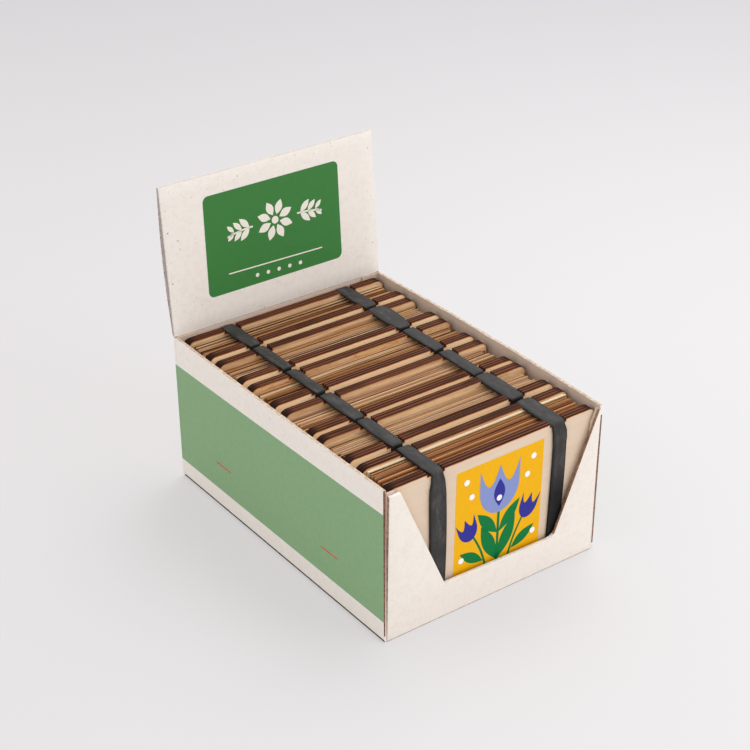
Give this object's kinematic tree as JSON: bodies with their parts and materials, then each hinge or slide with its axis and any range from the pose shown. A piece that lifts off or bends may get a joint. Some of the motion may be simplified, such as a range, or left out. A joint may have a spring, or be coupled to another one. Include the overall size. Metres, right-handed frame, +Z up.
{
  "type": "flower press",
  "caption": "Card counter tray with a fold-down header that holds pocket flower presses: plywood boards that squeeze corrugated card and blotting paper under flat rubber bands.",
  "frame": {"origin": "middle of the tray's underside", "axes": "+Z up, -Y towards the open front window, +X to the right seen from the front"},
  "size_m": [0.1, 0.1469, 0.126],
  "materials": {
    "tray_board": "uncoated recycled board, white outside and flecked, raw brown edges",
    "header_board": "uncoated recycled board, white and flecked, with a printed green panel",
    "plywood": "raw birch plywood with laser-burnt edges",
    "rubber_band": "matt dark grey flat rubber",
    "corrugated_card": "brown corrugated card",
    "blotting_paper": "soft cream paper"
  },
  "bodies": {
    "tray": {"tray_base": "tray_board", "tray_left_side": "tray_board", "tray_right_side": "tray_board", "tray_back_panel": "tray_board", "tray_front_panel": "tray_board", "front_corner_tabs": "tray_board", "back_corner_tabs": "tray_board"},
    "header": {"header_front_card": "header_board", "header_back_card": "header_board"},
    "press_1": {"front_board_1": "plywood", "back_board_1": "plywood", "left_band_1": "rubber_band", "right_band_1": "rubber_band", "corrugated_cards_1": "corrugated_card", "blotting_papers_1": "blotting_paper"},
    "press_2": {"front_board_2": "plywood", "back_board_2": "plywood", "left_band_2": "rubber_band", "right_band_2": "rubber_band", "corrugated_cards_2": "corrugated_card", "blotting_papers_2": "blotting_paper"},
    "press_3": {"front_board_3": "plywood", "back_board_3": "plywood", "left_band_3": "rubber_band", "right_band_3": "rubber_band", "corrugated_cards_3": "corrugated_card", "blotting_papers_3": "blotting_paper"},
    "press_4": {"front_board_4": "plywood", "back_board_4": "plywood", "left_band_4": "rubber_band", "right_band_4": "rubber_band", "corrugated_cards_4": "corrugated_card", "blotting_papers_4": "blotting_paper"},
    "press_5": {"front_board_5": "plywood", "back_board_5": "plywood", "left_band_5": "rubber_band", "right_band_5": "rubber_band", "corrugated_cards_5": "corrugated_card", "blotting_papers_5": "blotting_paper"},
    "press_6": {"front_board_6": "plywood", "back_board_6": "plywood", "left_band_6": "rubber_band", "right_band_6": "rubber_band", "corrugated_cards_6": "corrugated_card", "blotting_papers_6": "blotting_paper"}
  },
  "joints": [
    {"name": "header_fold", "type": "hinge", "parent": "tray", "child": "header", "pos_m": [0, 0.06907, 0.06445], "axis": [-1, 0, 0], "range_deg": [-94, 0]},
    {"name": "press_1_lift", "type": "slide", "parent": "tray", "child": "press_1", "axis": [0, -0.0175, 0.9998], "range_m": [0, 0.07]},
    {"name": "press_2_lift", "type": "slide", "parent": "tray", "child": "press_2", "axis": [0, -0.0112, 0.9999], "range_m": [0, 0.07]},
    {"name": "press_3_lift", "type": "slide", "parent": "tray", "child": "press_3", "axis": [0, -0.0049, 1], "range_m": [0, 0.07]},
    {"name": "press_4_lift", "type": "slide", "parent": "tray", "child": "press_4", "axis": [0, 0.0014, 1], "range_m": [0, 0.07]},
    {"name": "press_5_lift", "type": "slide", "parent": "tray", "child": "press_5", "axis": [0, 0.0077, 1], "range_m": [0, 0.07]},
    {"name": "press_6_lift", "type": "slide", "parent": "tray", "child": "press_6", "axis": [0, 0.014, 0.9999], "range_m": [0, 0.07]}
  ]
}
